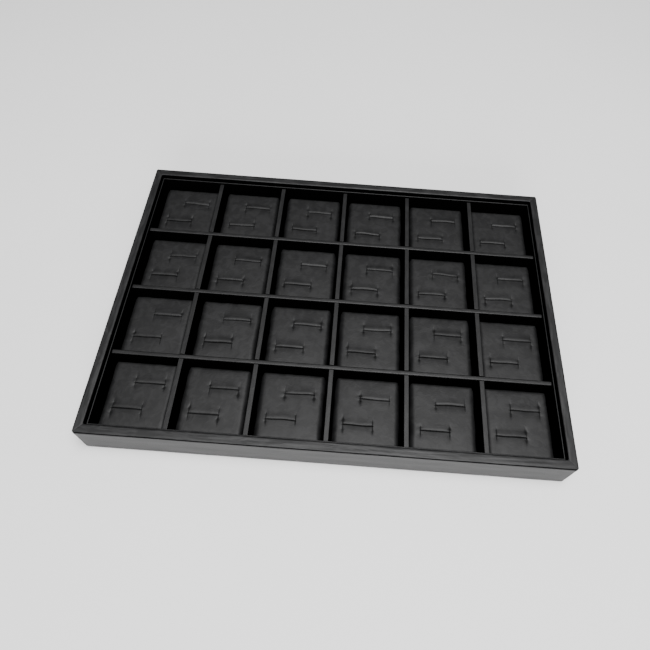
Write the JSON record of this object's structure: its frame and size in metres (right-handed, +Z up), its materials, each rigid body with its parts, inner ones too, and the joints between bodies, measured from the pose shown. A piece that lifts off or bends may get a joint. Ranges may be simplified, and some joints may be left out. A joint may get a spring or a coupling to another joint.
{
  "type": "jewelry display tray",
  "caption": "Low open tray with a wrapped frame and a lattice of dividers, whose square cells each hold a lift-out ring pad with two slits.",
  "frame": {"origin": "centre of the underside", "axes": "+X along the length, +Y towards the back, +Z up out of the open top"},
  "size_m": [0.35, 0.24, 0.035],
  "materials": {
    "leatherette": "satin",
    "divider": "satin",
    "pad": "matte",
    "frame_wood": "matte",
    "board": "matte",
    "lining": "matte",
    "felt": "matte"
  },
  "bodies": {
    "tray": {"felt_underside": "felt", "base_board": "board", "floor_lining": "lining", "frame_rail_front": "frame_wood", "side_wrap_front": "leatherette", "rim_wrap_front": "leatherette", "liner_front": "leatherette", "frame_rail_right": "frame_wood", "side_wrap_right": "leatherette", "rim_wrap_right": "leatherette", "liner_right": "leatherette", "frame_rail_back": "frame_wood", "side_wrap_back": "leatherette", "rim_wrap_back": "leatherette", "liner_back": "leatherette", "frame_rail_left": "frame_wood", "side_wrap_left": "leatherette", "rim_wrap_left": "leatherette", "liner_left": "leatherette", "row_divider_1": "divider", "row_divider_2": "divider", "row_divider_3": "divider", "column_divider_1": "divider", "column_divider_2": "divider", "column_divider_3": "divider", "column_divider_4": "divider", "column_divider_5": "divider"},
    "pad_r1c1": {"ring_pad_r1c1": "pad"},
    "pad_r1c2": {"ring_pad_r1c2": "pad"},
    "pad_r1c3": {"ring_pad_r1c3": "pad"},
    "pad_r1c4": {"ring_pad_r1c4": "pad"},
    "pad_r1c5": {"ring_pad_r1c5": "pad"},
    "pad_r1c6": {"ring_pad_r1c6": "pad"},
    "pad_r2c1": {"ring_pad_r2c1": "pad"},
    "pad_r2c2": {"ring_pad_r2c2": "pad"},
    "pad_r2c3": {"ring_pad_r2c3": "pad"},
    "pad_r2c4": {"ring_pad_r2c4": "pad"},
    "pad_r2c5": {"ring_pad_r2c5": "pad"},
    "pad_r2c6": {"ring_pad_r2c6": "pad"},
    "pad_r3c1": {"ring_pad_r3c1": "pad"},
    "pad_r3c2": {"ring_pad_r3c2": "pad"},
    "pad_r3c3": {"ring_pad_r3c3": "pad"},
    "pad_r3c4": {"ring_pad_r3c4": "pad"},
    "pad_r3c5": {"ring_pad_r3c5": "pad"},
    "pad_r3c6": {"ring_pad_r3c6": "pad"},
    "pad_r4c1": {"ring_pad_r4c1": "pad"},
    "pad_r4c2": {"ring_pad_r4c2": "pad"},
    "pad_r4c3": {"ring_pad_r4c3": "pad"},
    "pad_r4c4": {"ring_pad_r4c4": "pad"},
    "pad_r4c5": {"ring_pad_r4c5": "pad"},
    "pad_r4c6": {"ring_pad_r4c6": "pad"}
  },
  "joints": [
    {"name": "lift_r1c1", "type": "slide", "parent": "tray", "child": "pad_r1c1", "axis": [0, 0, 1], "range_m": [0, 0.04]},
    {"name": "lift_r1c2", "type": "slide", "parent": "tray", "child": "pad_r1c2", "axis": [0, 0, 1], "range_m": [0, 0.04]},
    {"name": "lift_r1c3", "type": "slide", "parent": "tray", "child": "pad_r1c3", "axis": [0, 0, 1], "range_m": [0, 0.04]},
    {"name": "lift_r1c4", "type": "slide", "parent": "tray", "child": "pad_r1c4", "axis": [0, 0, 1], "range_m": [0, 0.04]},
    {"name": "lift_r1c5", "type": "slide", "parent": "tray", "child": "pad_r1c5", "axis": [0, 0, 1], "range_m": [0, 0.04]},
    {"name": "lift_r1c6", "type": "slide", "parent": "tray", "child": "pad_r1c6", "axis": [0, 0, 1], "range_m": [0, 0.04]},
    {"name": "lift_r2c1", "type": "slide", "parent": "tray", "child": "pad_r2c1", "axis": [0, 0, 1], "range_m": [0, 0.04]},
    {"name": "lift_r2c2", "type": "slide", "parent": "tray", "child": "pad_r2c2", "axis": [0, 0, 1], "range_m": [0, 0.04]},
    {"name": "lift_r2c3", "type": "slide", "parent": "tray", "child": "pad_r2c3", "axis": [0, 0, 1], "range_m": [0, 0.04]},
    {"name": "lift_r2c4", "type": "slide", "parent": "tray", "child": "pad_r2c4", "axis": [0, 0, 1], "range_m": [0, 0.04]},
    {"name": "lift_r2c5", "type": "slide", "parent": "tray", "child": "pad_r2c5", "axis": [0, 0, 1], "range_m": [0, 0.04]},
    {"name": "lift_r2c6", "type": "slide", "parent": "tray", "child": "pad_r2c6", "axis": [0, 0, 1], "range_m": [0, 0.04]},
    {"name": "lift_r3c1", "type": "slide", "parent": "tray", "child": "pad_r3c1", "axis": [0, 0, 1], "range_m": [0, 0.04]},
    {"name": "lift_r3c2", "type": "slide", "parent": "tray", "child": "pad_r3c2", "axis": [0, 0, 1], "range_m": [0, 0.04]},
    {"name": "lift_r3c3", "type": "slide", "parent": "tray", "child": "pad_r3c3", "axis": [0, 0, 1], "range_m": [0, 0.04]},
    {"name": "lift_r3c4", "type": "slide", "parent": "tray", "child": "pad_r3c4", "axis": [0, 0, 1], "range_m": [0, 0.04]},
    {"name": "lift_r3c5", "type": "slide", "parent": "tray", "child": "pad_r3c5", "axis": [0, 0, 1], "range_m": [0, 0.04]},
    {"name": "lift_r3c6", "type": "slide", "parent": "tray", "child": "pad_r3c6", "axis": [0, 0, 1], "range_m": [0, 0.04]},
    {"name": "lift_r4c1", "type": "slide", "parent": "tray", "child": "pad_r4c1", "axis": [0, 0, 1], "range_m": [0, 0.04]},
    {"name": "lift_r4c2", "type": "slide", "parent": "tray", "child": "pad_r4c2", "axis": [0, 0, 1], "range_m": [0, 0.04]},
    {"name": "lift_r4c3", "type": "slide", "parent": "tray", "child": "pad_r4c3", "axis": [0, 0, 1], "range_m": [0, 0.04]},
    {"name": "lift_r4c4", "type": "slide", "parent": "tray", "child": "pad_r4c4", "axis": [0, 0, 1], "range_m": [0, 0.04]},
    {"name": "lift_r4c5", "type": "slide", "parent": "tray", "child": "pad_r4c5", "axis": [0, 0, 1], "range_m": [0, 0.04]},
    {"name": "lift_r4c6", "type": "slide", "parent": "tray", "child": "pad_r4c6", "axis": [0, 0, 1], "range_m": [0, 0.04]}
  ]
}
